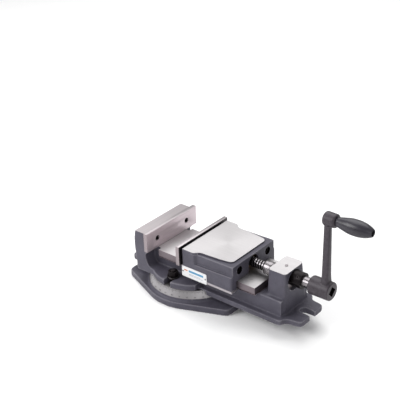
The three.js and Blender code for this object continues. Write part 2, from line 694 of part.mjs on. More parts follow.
function crankArm() {
  const hub = turnedX([
    [0, HUB_START_X],
    [HUB_RADIUS - 2, HUB_START_X],
    [HUB_RADIUS, HUB_START_X + 2],
    [HUB_RADIUS, HUB_END_X - 1.5],
    [HUB_RADIUS - 1.5, HUB_END_X],
    [0, HUB_END_X],
  ]);
  const arm = loft([
    barRing(7.9, 12.5, ARM_X, 8),
    barRing(7.7, 10, ARM_X, 20),
    barRing(7.5, 8, ARM_X, 34),
    barRing(7, 5, ARM_X, CRANK_RADIUS - 6),
  ]);
  const boss = turnedX([
    [0, BOSS_START_X],
    [BOSS_RADIUS - 3.5, BOSS_START_X],
    [BOSS_RADIUS - 1, BOSS_START_X + 1.5],
    [BOSS_RADIUS, BOSS_START_X + 4],
    [BOSS_RADIUS - 0.6, BOSS_END_X - 2],
    [BOSS_RADIUS - 2.5, BOSS_END_X],
    [0, BOSS_END_X],
  ], 0, CRANK_RADIUS, 28);
  const squareHalf = SQUARE_SIZE / 2 + GAP;
  const socket = box(HUB_START_X - 1, HUB_END_X + 1, -squareHalf, squareHalf, -squareHalf, squareHalf)
    .rotate([45, 0, 0]);
  const gripHole = rodX(GRIP_BOLT_RADIUS + GAP, BOSS_START_X - 2, BOSS_END_X + 2, 0, CRANK_RADIUS);
  return cut(union(hub, arm, boss), socket, gripHole);
}

function gripBolt() {
  const bolt = turnedX([
    [0, BOSS_START_X + 1],
    [GRIP_BOLT_RADIUS, BOSS_START_X + 1],
    [GRIP_BOLT_RADIUS, GRIP_HEAD_X],
    [GRIP_HEAD_RADIUS, GRIP_HEAD_X],
    [GRIP_HEAD_RADIUS, GRIP_HEAD_X + 4],
    [0, GRIP_HEAD_X + 4],
  ], 0, 0, SMALL_ROUND);
  return cut(bolt, rodX(2.8, GRIP_HEAD_X + 1, GRIP_HEAD_X + 5, 0, 0, 6));
}

function handleGrip() {
  const start = BOSS_END_X + 0.5;
  const grip = turnedX([
    [0, start],
    [9.3, start],
    [11.7, 360],
    [14.6, 372],
    [15.8, 384],
    [15.8, 393],
    [14.9, 402],
    [12.8, 411],
    [10.4, 417],
    [8.6, 421],
    [7.2, GRIP_END_X],
    [0, GRIP_END_X],
  ], 0, 0, 28);
  const shankBore = rodX(GRIP_BOLT_RADIUS + GAP, start - 2, GRIP_END_X + 2);
  return cut(grip, shankBore, rodX(GRIP_HEAD_RADIUS + GAP, GRIP_HEAD_X - GAP, GRIP_END_X + 2));
}

function crankGroup() {
  const group = new THREE.Group();
  group.position.z = SCREW_HEIGHT;
  group.add(named('crank_arm', crankArm(), blackSteel()));
  group.add(named('grip_bolt', gripBolt(), plainSteel(), 0, 0, CRANK_RADIUS));
  group.add(named('handle_grip', handleGrip(), blackSteel(), 0, 0, CRANK_RADIUS));
  return group;
}

const vise = new THREE.Group();
vise.add(baseGroup(), turntableGroup(), jawGroup(), screwGroup(), crankGroup());

export default vise;
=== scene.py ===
"""Looks of a machine vise on a swivel base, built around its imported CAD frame. Metres, +Z up."""
import math

import bmesh
import bpy
from mathutils import Matrix, Vector


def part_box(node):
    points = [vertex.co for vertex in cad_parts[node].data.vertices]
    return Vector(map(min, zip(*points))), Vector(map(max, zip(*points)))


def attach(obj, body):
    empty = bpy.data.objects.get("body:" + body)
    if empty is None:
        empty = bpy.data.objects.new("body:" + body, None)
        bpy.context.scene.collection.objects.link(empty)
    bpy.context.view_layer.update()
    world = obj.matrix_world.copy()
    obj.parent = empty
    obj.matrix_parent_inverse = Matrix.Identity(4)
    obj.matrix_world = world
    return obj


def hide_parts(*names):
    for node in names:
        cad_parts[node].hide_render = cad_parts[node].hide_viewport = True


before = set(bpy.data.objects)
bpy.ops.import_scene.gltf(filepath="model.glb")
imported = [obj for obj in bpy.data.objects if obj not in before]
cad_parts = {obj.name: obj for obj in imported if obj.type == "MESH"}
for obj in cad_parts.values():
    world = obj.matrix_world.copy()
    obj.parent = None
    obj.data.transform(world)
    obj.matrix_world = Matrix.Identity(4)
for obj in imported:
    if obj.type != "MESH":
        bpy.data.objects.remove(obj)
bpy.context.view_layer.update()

MM = 0.001
AXES = {"X": Vector((1, 0, 0)), "Y": Vector((0, 1, 0)), "Z": Vector((0, 0, 1))}
SIDES = {"near": -1, "far": 1}
PAST = 9 * MM               # how far a cutter reaches beyond the metal that it takes away
SQUARE_SIZE = 15.6 * MM     # across the flats of the screw's square end
COLLAR_BORE = 11.3 * MM
THREAD_PITCH = 6 * MM

# Places that the frame gives

SCREW_AXIS_Z = sum(corner.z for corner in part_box("lead_screw")) / 2
CRANK_AXIS_Z = sum(corner.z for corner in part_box("handle_grip")) / 2
BODY_LOW, BODY_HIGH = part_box("vise_body")
BASE_LOW, BASE_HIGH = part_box("swivel_base")
JAW_LOW, JAW_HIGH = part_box("moving_jaw")


def centre(node):
    low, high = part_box(node)
    return (low + high) / 2


# Camera

CAMERA_AZIMUTH = math.radians(40.527)
CAMERA_ELEVATION = math.radians(27.553)
CAMERA_ROLL = math.radians(-2.159)
CAMERA_DISTANCE = 2.00417
CAMERA_TARGET = Vector((0.041, 0, 0.0845))
CAMERA_RIGHT = -0.01429
CAMERA_UP = 0.11459
CAMERA_LENS = 86.4


def make_camera():
    back = Vector((
        math.sin(CAMERA_AZIMUTH) * math.cos(CAMERA_ELEVATION),
        -math.cos(CAMERA_AZIMUTH) * math.cos(CAMERA_ELEVATION),
        math.sin(CAMERA_ELEVATION),
    ))
    right = Vector((math.cos(CAMERA_AZIMUTH), math.sin(CAMERA_AZIMUTH), 0))
    up = back.cross(right)
    place = CAMERA_TARGET + back * CAMERA_DISTANCE + right * CAMERA_RIGHT + up * CAMERA_UP
    rolled_right = right * math.cos(CAMERA_ROLL) + up * math.sin(CAMERA_ROLL)
    rolled_up = up * math.cos(CAMERA_ROLL) - right * math.sin(CAMERA_ROLL)
    data = bpy.data.cameras.new("camera")
    data.lens = CAMERA_LENS
    data.sensor_width = 36
    camera = bpy.data.objects.new("camera", data)
    bpy.context.scene.collection.objects.link(camera)
    turn = Matrix((rolled_right, rolled_up, back)).transposed().to_4x4()
    camera.matrix_world = Matrix.Translation(place) @ turn
    bpy.context.scene.camera = camera


# Materials: small helpers for node trees, then one function for each finish


class Nodes:
    """A material's node tree, with short calls for the nodes used here."""

    def __init__(self, name):
        self.material = bpy.data.materials.new(name)
        self.material.use_nodes = True
        self.tree = self.material.node_tree
        self.shader = self.tree.nodes["Principled BSDF"]
        self.place = self.add("ShaderNodeTexCoord").outputs["Object"]

    def add(self, kind, **settings):
        node = self.tree.nodes.new(kind)
        for key, value in settings.items():
            setattr(node, key, value)
        return node

    def link(self, output, socket):
        self.tree.links.new(output, socket)

    def stretched(self, scale):
        mapping = self.add("ShaderNodeMapping")
        mapping.inputs["Scale"].default_value = scale
        self.link(self.place, mapping.inputs["Vector"])
        return mapping.outputs["Vector"]

    def noise(self, scale, detail=3, roughness=0.55, vector=None):
        node = self.add("ShaderNodeTexNoise")
        node.inputs["Scale"].default_value = scale
        node.inputs["Detail"].default_value = detail
        node.inputs["Roughness"].default_value = roughness
        self.link(vector or self.place, node.inputs["Vector"])
        return node.outputs["Fac"]

    def spread(self, value, low, high, start=0.3, end=0.7):
        node = self.add("ShaderNodeMapRange")
        node.inputs["From Min"].default_value = start
        node.inputs["From Max"].default_value = end
        node.inputs["To Min"].default_value = low
        node.inputs["To Max"].default_value = high
        self.link(value, node.inputs["Value"])
        return node.outputs["Result"]

    def maths(self, operation, a, b):
        node = self.add("ShaderNodeMath", operation=operation)
        for socket, value in zip(node.inputs, (a, b)):
            if isinstance(value, (int, float)):
                socket.default_value = value
            else:
                self.link(value, socket)
        return node.outputs[0]

    def mixed(self, factor, first, second):
        node = self.add("ShaderNodeMix", data_type="RGBA")
        self.link(factor, node.inputs["Factor"])
        for socket, value in ((node.inputs[6], first), (node.inputs[7], second)):
            if isinstance(value, tuple):
                socket.default_value = (*value, 1)
            else:
                self.link(value, socket)
        return node.outputs[2]

    def edges(self, start, end):
        """Rises from 0 to 1 on convex edges."""
        pointiness = self.add("ShaderNodeNewGeometry").outputs["Pointiness"]
        return self.spread(pointiness, 0, 1, start, end)

    def bump(self, height, distance, strength=1.0, normal=None):
        node = self.add("ShaderNodeBump")
        node.inputs["Strength"].default_value = strength
        node.inputs["Distance"].default_value = distance
        self.link(height, node.inputs["Height"])
        if normal:
            self.link(normal, node.inputs["Normal"])
        return node.outputs["Normal"]

    def finish(self, color, roughness, metallic, normal=None, **constants):
        for name, value in (("Base Color", color), ("Roughness", roughness), ("Metallic", metallic)):
            socket = self.shader.inputs[name]
            if isinstance(value, tuple):
                socket.default_value = (*value, 1)
            elif isinstance(value, (int, float)):
                socket.default_value = value
            else:
                self.link(value, socket)
        if normal:
            self.link(normal, self.shader.inputs["Normal"])
        for name, value in constants.items():
            socket_name = name.replace("_", " ").title().replace("Ior", "IOR")
            self.shader.inputs[socket_name].default_value = value
        return self.material


def cast_paint(name, color, dark):
    """Enamel over sand-cast iron: mottled colour, orange peel and a grainy casting skin."""
    n = Nodes(name)
    mottle = n.noise(45, 4)
    fine = n.noise(900, 5, 0.65)
    peel = n.noise(320, 2, 0.4)
    grime = n.noise(12, 5, 0.6)
    base = n.mixed(n.spread(mottle, 0, 1), dark, color)
    # Lighter colour on convex edges: painted highlight along the edges, together with some paint wear.
    wear = n.maths("MULTIPLY", n.edges(0.51, 0.555), n.spread(fine, 0.3, 0.9))
    worn = n.mixed(wear, base, (0.26, 0.25, 0.28))
    skin = n.bump(fine, 0.00035, 0.55)
    wavy = n.bump(peel, 0.0006, 0.35, skin)
    shine = n.maths("ADD", n.spread(grime, 0.38, 0.55), n.spread(fine, -0.05, 0.08))
    return n.finish(worn, shine, 0.0, wavy, specular_ior_level=0.28)


def ground_steel(name, along, color, roughness):
    """Surface-ground steel: fine straight scratches along one axis and a soft cloudy sheen."""
    n = Nodes(name)
    fine_scale = [900, 900, 900]
    fine_scale["XYZ".index(along)] = 14
    coarse_scale = [260, 260, 260]
    coarse_scale["XYZ".index(along)] = 5
    lines = n.noise(1, 3, 0.7, n.stretched(fine_scale))
    bands = n.noise(1, 2, 0.5, n.stretched(coarse_scale))
    clouds = n.noise(28, 4)
    shade = tuple(c * 0.92 for c in color)
    base = n.mixed(n.spread(lines, 0, 1), shade, color)
    gloss = n.maths("ADD", n.spread(bands, roughness[0], roughness[1]), n.spread(clouds, -0.02, 0.03))
    normal = n.bump(lines, 0.00004, 0.35)
    return n.finish(base, gloss, 1.0, normal, anisotropic=0.3)


def turned_steel(name, color, roughness=(0.2, 0.34), rings=1500):
    """Turned metal: fine rings round the X axis, with a little wear."""
    n = Nodes(name)
    grooves = n.noise(1, 2, 0.5, n.stretched((rings, 6, 6)))
    smudge = n.noise(60, 4)
    shade = tuple(c * 0.8 for c in color)
    base = n.mixed(n.spread(smudge, 0, 1), shade, color)
    gloss = n.maths("ADD", n.spread(grooves, roughness[0], roughness[1]), n.spread(smudge, -0.04, 0.08))
    return n.finish(base, gloss, 1.0, n.bump(grooves, 0.00005, 0.5))


def black_oxide(name):
    """Oiled black oxide that has rubbed thin on the edges."""
    n = Nodes(name)
    color = (0.006, 0.004, 0.005)
    edge = (0.07, 0.06, 0.065)
    grain = n.noise(700, 4, 0.6)
    oil = n.noise(70, 4)
    wear = n.maths("MULTIPLY", n.edges(0.53, 0.6), n.spread(grain, 0.1, 0.7))
    base = n.mixed(wear, color, edge)
    gloss = n.spread(oil, 0.28, 0.5)
    return n.finish(base, gloss, 0.6, n.bump(grain, 0.00015, 0.35), specular_ior_level=0.25)


def bronze_metal(name):
    n = Nodes(name)
    marks = n.noise(1, 2, 0.5, n.stretched((900, 30, 30)))
    # Dark bronze colours: painted shade, taken from the nut in the shaded arch under the jaw; the noise
    # varies the tone at random.
    bronze_tone = n.noise(90, 5)
    base = n.mixed(n.spread(bronze_tone, 0, 1), (0.07, 0.045, 0.025), (0.2, 0.13, 0.065))
    return n.finish(base, n.spread(bronze_tone, 0.28, 0.5), 1.0, n.bump(marks, 0.00008, 0.5))


def crank_enamel(name):
    """Thin dark enamel over a steel forging, slightly uneven."""
    n = Nodes(name)
    uneven = n.noise(140, 4)
    grain = n.noise(1100, 4, 0.6)
    base = n.mixed(n.spread(uneven, 0, 1), (0.036, 0.029, 0.036), (0.062, 0.053, 0.064))
    wear = n.maths("MULTIPLY", n.edges(0.53, 0.6), n.spread(grain, 0, 0.6))
    worn = n.mixed(wear, base, (0.2, 0.19, 0.21))
    rough = n.bump(uneven, 0.0006, 0.3, n.bump(grain, 0.0002, 0.35))
    return n.finish(worn, n.spread(uneven, 0.34, 0.48), 0.1, rough, specular_ior_level=0.3)


def grip_plastic(name):
    """Moulded phenolic grip with faint flow marks and fine handling scratches."""
    n = Nodes(name)
    flow = n.noise(1, 5, 0.6, n.stretched((18, 70, 70)))
    scuffs = n.noise(1, 4, 0.7, n.stretched((120, 900, 900)))
    base = n.mixed(n.spread(flow, 0, 1), (0.018, 0.016, 0.022), (0.034, 0.031, 0.042))
    gloss = n.maths("ADD", n.spread(flow, 0.24, 0.34), n.spread(scuffs, -0.02, 0.07))
    return n.finish(base, gloss, 0.0, n.bump(scuffs, 0.00004, 0.4), specular_ior_level=0.4)


def printed_plate(name):
    """White lacquered aluminium with a fine brushed grain under it."""
    n = Nodes(name)
    brushed = n.noise(1, 3, 0.6, n.stretched((20, 700, 700)))
    dust = n.noise(240, 4)
    base = n.mixed(n.spread(brushed, 0, 1), (0.66, 0.66, 0.67), (0.74, 0.74, 0.75))
    return n.finish(base, n.spread(dust, 0.35, 0.5), 0.1, n.bump(brushed, 0.00004, 0.4))


def plain_ink(name, color):
    n = Nodes(name)
    speckle = n.noise(1500, 2)
    tint = tuple(c * 0.75 for c in color)
    return n.finish(n.mixed(n.spread(speckle, 0, 1), tint, color), n.spread(speckle, 0.4, 0.6), 0.0)


PAINT = cast_paint("cast_paint", (0.078, 0.073, 0.097), (0.06, 0.056, 0.075))
GROUND_X = ground_steel("ground_steel_along_x", "X", (0.5, 0.485, 0.49), (0.42, 0.5))
GROUND_Y = ground_steel("ground_steel_along_y", "Y", (0.4, 0.37, 0.38), (0.42, 0.5))
PLATE_STEEL = ground_steel("jaw_plate_steel", "Y", (0.7, 0.62, 0.65), (0.44, 0.54))
# Darker copy of the plate steel for the plates' end faces: painted shade.
PLATE_ENDS_PAINTED_SHADE = ground_steel("jaw_plate_ends_painted_shade", "Z", (0.33, 0.285, 0.3), (0.42, 0.52))
# Darker copy of the deck's ground steel for the rails' sides and front end: painted shade.
RAIL_SIDE_PAINTED_SHADE = ground_steel("rail_side_steel_painted_shade", "X", (0.2, 0.17, 0.185), (0.4, 0.5))
KEEPER_STEEL = ground_steel("keeper_steel", "X", (0.42, 0.39, 0.41), (0.4, 0.5))
BAND_STEEL = ground_steel("band_steel", "Z", (0.38, 0.365, 0.375), (0.34, 0.46))
# Dark steel: painted shade on the thread's flanks and roots and on the moving plate's back face; also the
# washers' dark colour.
DARK_STEEL_AND_PAINTED_SHADE = turned_steel("dark_steel_and_painted_shade", (0.06, 0.055, 0.058), (0.3, 0.45))
SCREW_STEEL = turned_steel("screw_steel", (0.24, 0.225, 0.235))
MACHINED = turned_steel("machined_casting", (0.3, 0.27, 0.28), (0.35, 0.5), 700)
# Black oxide for the screws, nuts and collar; also painted shade on the walls of holes, counterbores and the
# crank's socket.
BLACK = black_oxide("black_oxide")
BRONZE = bronze_metal("bronze")
CRANK = crank_enamel("crank_enamel")
GRIP = grip_plastic("grip_plastic")
LABEL = printed_plate("label_white")
INK = plain_ink("black_ink", (0.03, 0.03, 0.035))
RULE_INK = plain_ink("grey_ink", (0.25, 0.3, 0.36))
BLUE_INK = plain_ink("blue_ink", (0.09, 0.3, 0.5))
ORANGE_INK = plain_ink("orange_ink", (0.6, 0.2, 0.09))

# Mesh helpers


def new_object(name, bm, *materials):
    mesh = bpy.data.meshes.new(name)
    bmesh.ops.recalc_face_normals(bm, faces=bm.faces)
    bm.to_mesh(mesh)
    bm.free()
    for material in materials:
        mesh.materials.append(material)
    thing = bpy.data.objects.new(name, mesh)
    bpy.context.scene.collection.objects.link(thing)
    return thing


def remove(*things):
    for thing in things:
        bpy.data.objects.remove(thing)


def apply_modifiers(thing):
    graph = bpy.context.evaluated_depsgraph_get()
    mesh = bpy.data.meshes.new_from_object(thing.evaluated_get(graph), depsgraph=graph)
    thing.modifiers.clear()
    thing.data = mesh
    return thing


def modify(thing, kind, **settings):
    modifier = thing.modifiers.new(kind.lower(), kind)
    for key, value in settings.items():
        setattr(modifier, key, value)
    return apply_modifiers(thing)


def combine(thing, operation, *others):
    """Boolean with other closed meshes. Faces that a cutter leaves keep the cutter's material."""
    for other in others:
        modifier = thing.modifiers.new("boolean", "BOOLEAN")
        modifier.operation = operation
        modifier.object = other
        modifier.solver = "MANIFOLD"
        modifier.material_mode = "TRANSFER"
    apply_modifiers(thing)
    remove(*others)
    return thing


def cut(thing, *others):
    return combine(thing, "DIFFERENCE", *others)


def join_solids(thing, *others):
    return combine(thing, "UNION", *others)


def soften(thing, width, segments=3, angle=30):
    """Small rounded edges on a machined piece."""
    modify(
        thing, "BEVEL", width=width, segments=segments, limit_method="ANGLE",
        angle_limit=math.radians(angle), harden_normals=False, use_clamp_overlap=True,
    )
    return smooth(thing)


def smooth(thing, angle=32):
    thing.data.shade_smooth()
    thing.data.set_sharp_from_angle(angle=math.radians(angle))
    return thing


def block(name, low, high, *materials):
    bm = bmesh.new()
    bmesh.ops.create_cube(bm, size=1)
    low, high = Vector(low), Vector(high)
    size = high - low
    bmesh.ops.scale(bm, vec=size, verts=bm.verts)
    bmesh.ops.translate(bm, vec=(low + high) / 2, verts=bm.verts)
    return new_object(name, bm, *materials)


def spokes(axis, sides):
    """Directions straight away from an axis, evenly spaced round it."""
    side_one = AXES["Y"] if axis == "X" else AXES["X"]
    side_two = AXES["Z"] if axis == "X" else AXES["Y"]
    angles = [2 * math.pi * i / sides for i in range(sides)]
    return [side_one * math.cos(angle) + side_two * math.sin(angle) for angle in angles]


def turned(name, profile, axis="X", origin=(0, 0, 0), sides=64, *materials):
    """Solid of revolution from [(distance along the axis, radius)], closed on the axis at both ends."""
    forward = AXES[axis]
    origin = Vector(origin)
    bm = bmesh.new()
    rings = []
    for along, radius in profile:
        middle = origin + forward * along
        if radius <= 0:
            rings.append([bm.verts.new(middle)])
            continue
        rings.append([bm.verts.new(middle + outward * radius) for outward in spokes(axis, sides)])
    for first, second in zip(rings, rings[1:]):
        for i in range(sides):
            corners = [
                first[i % len(first)], first[(i + 1) % len(first)],
                second[(i + 1) % len(second)], second[i % len(second)],
            ]
            unique = list(dict.fromkeys(corners))
            if len(unique) > 2:
                bm.faces.new(unique)
    return new_object(name, bm, *materials)


def rod(name, axis, radius, start, end, origin=(0, 0, 0), sides=64, *materials):
    profile = [(start, 0), (start, radius), (end, radius), (end, 0)]
    return turned(name, profile, axis, origin, sides, *materials)


def closed_ring(name, profile, axis="X", origin=(0, 0, 0), sides=64, *materials):
    """Ring of revolution from a closed profile that stays clear of the axis."""
    forward = AXES[axis]
    origin = Vector(origin)
    bm = bmesh.new()
    rings = []
    for outward in spokes(axis, sides):
        rings.append([
            bm.verts.new(origin + forward * along + outward * radius) for along, radius in profile
        ])
    count = len(profile)
    for i in range(sides):
        here, after = rings[i], rings[(i + 1) % sides]
        for k in range(count):
            bm.faces.new([here[k], here[(k + 1) % count], after[(k + 1) % count], after[k]])
    return new_object(name, bm, *materials)


def prism(name, outline, axis, start, end, *materials):
    """Outline in the two other axes, in order, drawn along an axis."""
    places = {
        "X": lambda a, b, along: (along, a, b),
        "Y": lambda a, b, along: (a, along, b),
        "Z": lambda a, b, along: (a, b, along),
    }[axis]
    bm = bmesh.new()
    low = [bm.verts.new(places(a, b, start)) for a, b in outline]
    high = [bm.verts.new(places(a, b, end)) for a, b in outline]
    bm.faces.new(low)
    bm.faces.new(high)
    for i in range(len(outline)):
        after = (i + 1) % len(outline)
        bm.faces.new([low[i], low[after], high[after], high[i]])
    return new_object(name, bm, *materials)


def rounded(corners, steps=6):
    """Outline with rounded corners from [(x, y, set-back of the curve from the corner)]."""
    points = []
    for i, (x, y, reach) in enumerate(corners):
        here = Vector((x, y))
        before = Vector(corners[i - 1][:2]) - here
        after = Vector(corners[(i + 1) % len(corners)][:2]) - here
        if reach == 0:
            points.append((x, y))
            continue
        start = here + before.normalized() * reach
        end = here + after.normalized() * reach
        for k in range(steps + 1):
            t = k / steps
            point = start * (1 - t) ** 2 + here * 2 * t * (1 - t) + end * t ** 2
            points.append(tuple(point))
    return points


def polygon(sides, radius, turn=0.0, middle=(0, 0)):
    return [
        (middle[0] + radius * math.cos(turn + 2 * math.pi * i / sides),
         middle[1] + radius * math.sin(turn + 2 * math.pi * i / sides))
        for i in range(sides)
    ]


def copy_cad(name, node, *materials):
    """A new object with a copy of a CAD node's shape."""
    bm = bmesh.new()
    bm.from_mesh(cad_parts[node].data)
    bmesh.ops.remove_doubles(bm, verts=bm.verts, dist=1e-6)
    return new_object(name, bm, *materials)


def raise_faces(thing, axis, level, amount):
    """Moves the flat faces at that level outwards on new side walls, so that cuts can go back to it."""
    direction = AXES[axis] * (1 if amount > 0 else -1)
    bm = bmesh.new()
    bm.from_mesh(thing.data)
    chosen = [
        face for face in bm.faces
        if face.normal.dot(direction) > 0.99
        and abs(face.calc_center_median().dot(AXES[axis]) - level) < 0.05 * MM
    ]
    grown = bmesh.ops.extrude_face_region(bm, geom=chosen)
    moved = [item for item in grown["geom"] if isinstance(item, bmesh.types.BMVert)]
    bmesh.ops.translate(bm, vec=AXES[axis] * amount, verts=moved)
    bmesh.ops.delete(bm, geom=chosen, context="FACES")
    bmesh.ops.recalc_face_normals(bm, faces=bm.faces)
    bm.to_mesh(thing.data)
    bm.free()
    return thing


def face_material(thing, axis, sign, material):
    """Gives the faces that look along an axis their own material."""
    thing.data.materials.append(material)
    index = len(thing.data.materials) - 1
    for face in thing.data.polygons:
        if face.normal.dot(AXES[axis]) * sign > 0.9:
            face.material_index = index


def cast(thing, voxel, rounds, share=0.35):
    """Turns a sharp solid into a casting blank with rounded edges and filled corners."""
    materials = list(thing.data.materials)
    modify(thing, "REMESH", mode="VOXEL", voxel_size=voxel, adaptivity=0)
    modify(thing, "SMOOTH", factor=0.5, iterations=rounds)
    modify(thing, "DECIMATE", decimate_type="COLLAPSE", ratio=share)
    thing.data.materials.clear()
    for material in materials:
        thing.data.materials.append(material)
    return thing


def set_on_screw(thing, degrees):
    """Turns a mesh about the X axis and lifts it to the screw's axis."""
    turn = Matrix.Rotation(math.radians(degrees), 4, "X")
    thing.data.transform(Matrix.Translation((0, 0, SCREW_AXIS_Z)) @ turn)


def piece(thing, body, slot, *nodes):
    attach(thing, body)
    if nodes:
        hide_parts(*nodes)
    return thing


# Stage


def make_stage():
    bm = bmesh.new()
    bmesh.ops.create_grid(bm, x_segments=1, y_segments=1, size=6)
    floor = new_object("floor", bm)
    n = Nodes("pale_floor")
    floor.data.materials.append(n.finish((0.98, 0.98, 0.98), n.spread(n.noise(30), 0.55, 0.65), 0.0))
    world = bpy.data.worlds.new("studio")
    world.use_nodes = True
    world.node_tree.nodes["Background"].inputs["Color"].default_value = (1, 1, 1, 1)
    world.node_tree.nodes["Background"].inputs["Strength"].default_value = 0.5
    bpy.context.scene.world = world
    bpy.context.scene.view_settings.view_transform = "Standard"
    for name, place, size, power in (
        ("key", (-1.3, -1.7, 1.5), 1.4, 44),
        ("fill", (1.7, -1.3, 1.2), 1.2, 6),
        ("top", (-0.6, 1.0, 2.4), 2.4, 54),
    ):
        data = bpy.data.lights.new(name, "AREA")
        data.size = size
        data.energy = power
        light = bpy.data.objects.new(name, data)
        light.location = place
        aim = Vector((0.1, 0, 0.08)) - Vector(place)
        light.rotation_euler = aim.to_track_quat("-Z", "Y").to_euler()
        bpy.context.scene.collection.objects.link(light)


# Swivel base


def make_base():
    band_low_z = 21.5 * MM
    band_low_radius = 97 * MM
    band_top_radius = 90 * MM
    top = BASE_HIGH.z
    clamp_radius = abs(centre("t_bolt_far").y)
    neck = 8.7 * MM             # half widths of the ring-shaped slot, above and below its ledge
    head = 14 * MM
    band_slope = (band_low_radius - band_top_radius) / (top - band_low_z)
    slot_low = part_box("t_bolt_far")[0].z - 2.5 * MM
    slot_ledge = slot_low + 12.6 * MM
    base = copy_cad("base_casting", "swivel_base", PAINT)
    plug = closed_ring("plug", [
        (slot_low, clamp_radius - head - MM), (slot_low, clamp_radius + head + MM),
        (top, clamp_radius + head + MM), (top, clamp_radius - head - MM),
    ], "Z")
    post_plug = rod("post_plug", "Z", 22 * MM, 10 * MM, top)
    band_stock = closed_ring("band_stock", [
        (band_low_z - 0.5 * MM, band_low_radius - 8 * MM),
        (band_low_z - 0.5 * MM, band_low_radius + 1.2 * MM),
        (top + 2 * MM, band_top_radius + 1.2 * MM), (top + 2 * MM, band_top_radius - 8 * MM),
    ], "Z", sides=96)
    join_solids(base, plug, post_plug, band_stock)
    raise_faces(base, "Z", top, 3 * MM)
    cast(base, 1.6 * MM, 6)
    above_top = block("top_cut", (-0.12, -0.12, top), (0.12, 0.12, top + 10 * MM), GROUND_X)
    band_cut = closed_ring("band_cut", [
        (band_low_z, band_low_radius), (band_low_z, band_low_radius + PAST),
        (top + 5 * MM, band_low_radius + PAST),
        (top + 5 * MM, band_top_radius - 5 * MM * band_slope),
    ], "Z", (0, 0, 0), 128, BAND_STEEL)
    bolt_slot = closed_ring("bolt_slot", [
        (slot_low, clamp_radius - head), (slot_low, clamp_radius + head),
        (slot_ledge, clamp_radius + head), (slot_ledge, clamp_radius + neck),
        (top + MM, clamp_radius + neck), (top + MM, clamp_radius - neck),
        (slot_ledge, clamp_radius - neck), (slot_ledge, clamp_radius - head),
    ], "Z", (0, 0, 0), 96, MACHINED)
    post_hole = rod("post_hole", "Z", 20.3 * MM, 14 * MM, top + MM, (0, 0, 0), 64, MACHINED)
    sole_cut = block("sole_cut", (-0.2, -0.2, -0.01), (0.2, 0.2, BASE_LOW.z + 0.3 * MM), GROUND_X)
    cut(base, above_top, band_cut, bolt_slot, post_hole, sole_cut)
    smooth(base)
    piece(base, "base", "base_cast", "swivel_base")
    make_graduations(band_low_z, band_low_radius, top, band_top_radius)


def make_graduations(low_z, low_radius, high_z, high_radius):
    """Degree marks and numerals on the cone of the band, a hair proud of it."""
    slope = Vector((high_radius - low_radius, 0, high_z - low_z))
    length = slope.length
    slope.normalize()
    outward = Vector((slope.z, 0, -slope.x))
    lift = 0.03 * MM
    bm = bmesh.new()
    for degree in range(360):
        reach = 6.4 * MM if degree % 10 == 0 else 5 * MM if degree % 5 == 0 else 3.6 * MM
        half = 0.28 * MM if degree % 10 == 0 else 0.2 * MM
        turn = Matrix.Rotation(math.radians(degree), 3, "Z")
        start = Vector((low_radius, 0, low_z)) + slope * (length - 0.4 * MM)
        corners = []
        for along in (0, -reach):
            for across in (-half, half):
                for out in (-lift, lift):
                    point = start + slope * along + outward * out + Vector((0, across, 0))
                    corners.append(bm.verts.new(turn @ point))
        a, b, c, d, e, f, g, h = corners
        for quad in ((a, b, d, c), (e, g, h, f), (a, c, g, e), (b, f, h, d), (a, e, f, b), (c, d, h, g)):
            bm.faces.new(quad)
    marks = new_object("graduations", bm, INK)
    for degree in range(0, 360, 10):
        shown = degree if degree <= 180 else 360 - degree
        text = bpy.data.curves.new("numeral", "FONT")
        text.body = str(shown)
        text.size = 4.4 * MM
        text.align_x = "CENTER"
        text.extrude = lift
        thing = bpy.data.objects.new("numeral", text)
        bpy.context.scene.collection.objects.link(thing)
        turn = Matrix.Rotation(math.radians(degree), 3, "Z")
        basis = Matrix((turn @ Vector((0, 1, 0)), turn @ slope, turn @ outward)).transposed().to_4x4()
        start = turn @ (Vector((low_radius, 0, low_z)) + slope * 1.6 * MM)
        graph = bpy.context.evaluated_depsgraph_get()
        mesh = bpy.data.meshes.new_from_object(thing.evaluated_get(graph))
        mesh.transform(Matrix.Translation(start) @ basis)
        joined = bmesh.new()
        joined.from_mesh(marks.data)
        joined.from_mesh(mesh)
        joined.to_mesh(marks.data)
        joined.free()
        remove(thing)
    piece(marks, "base", "base_cast")


make_camera()
make_stage()
make_base()

# Vise body


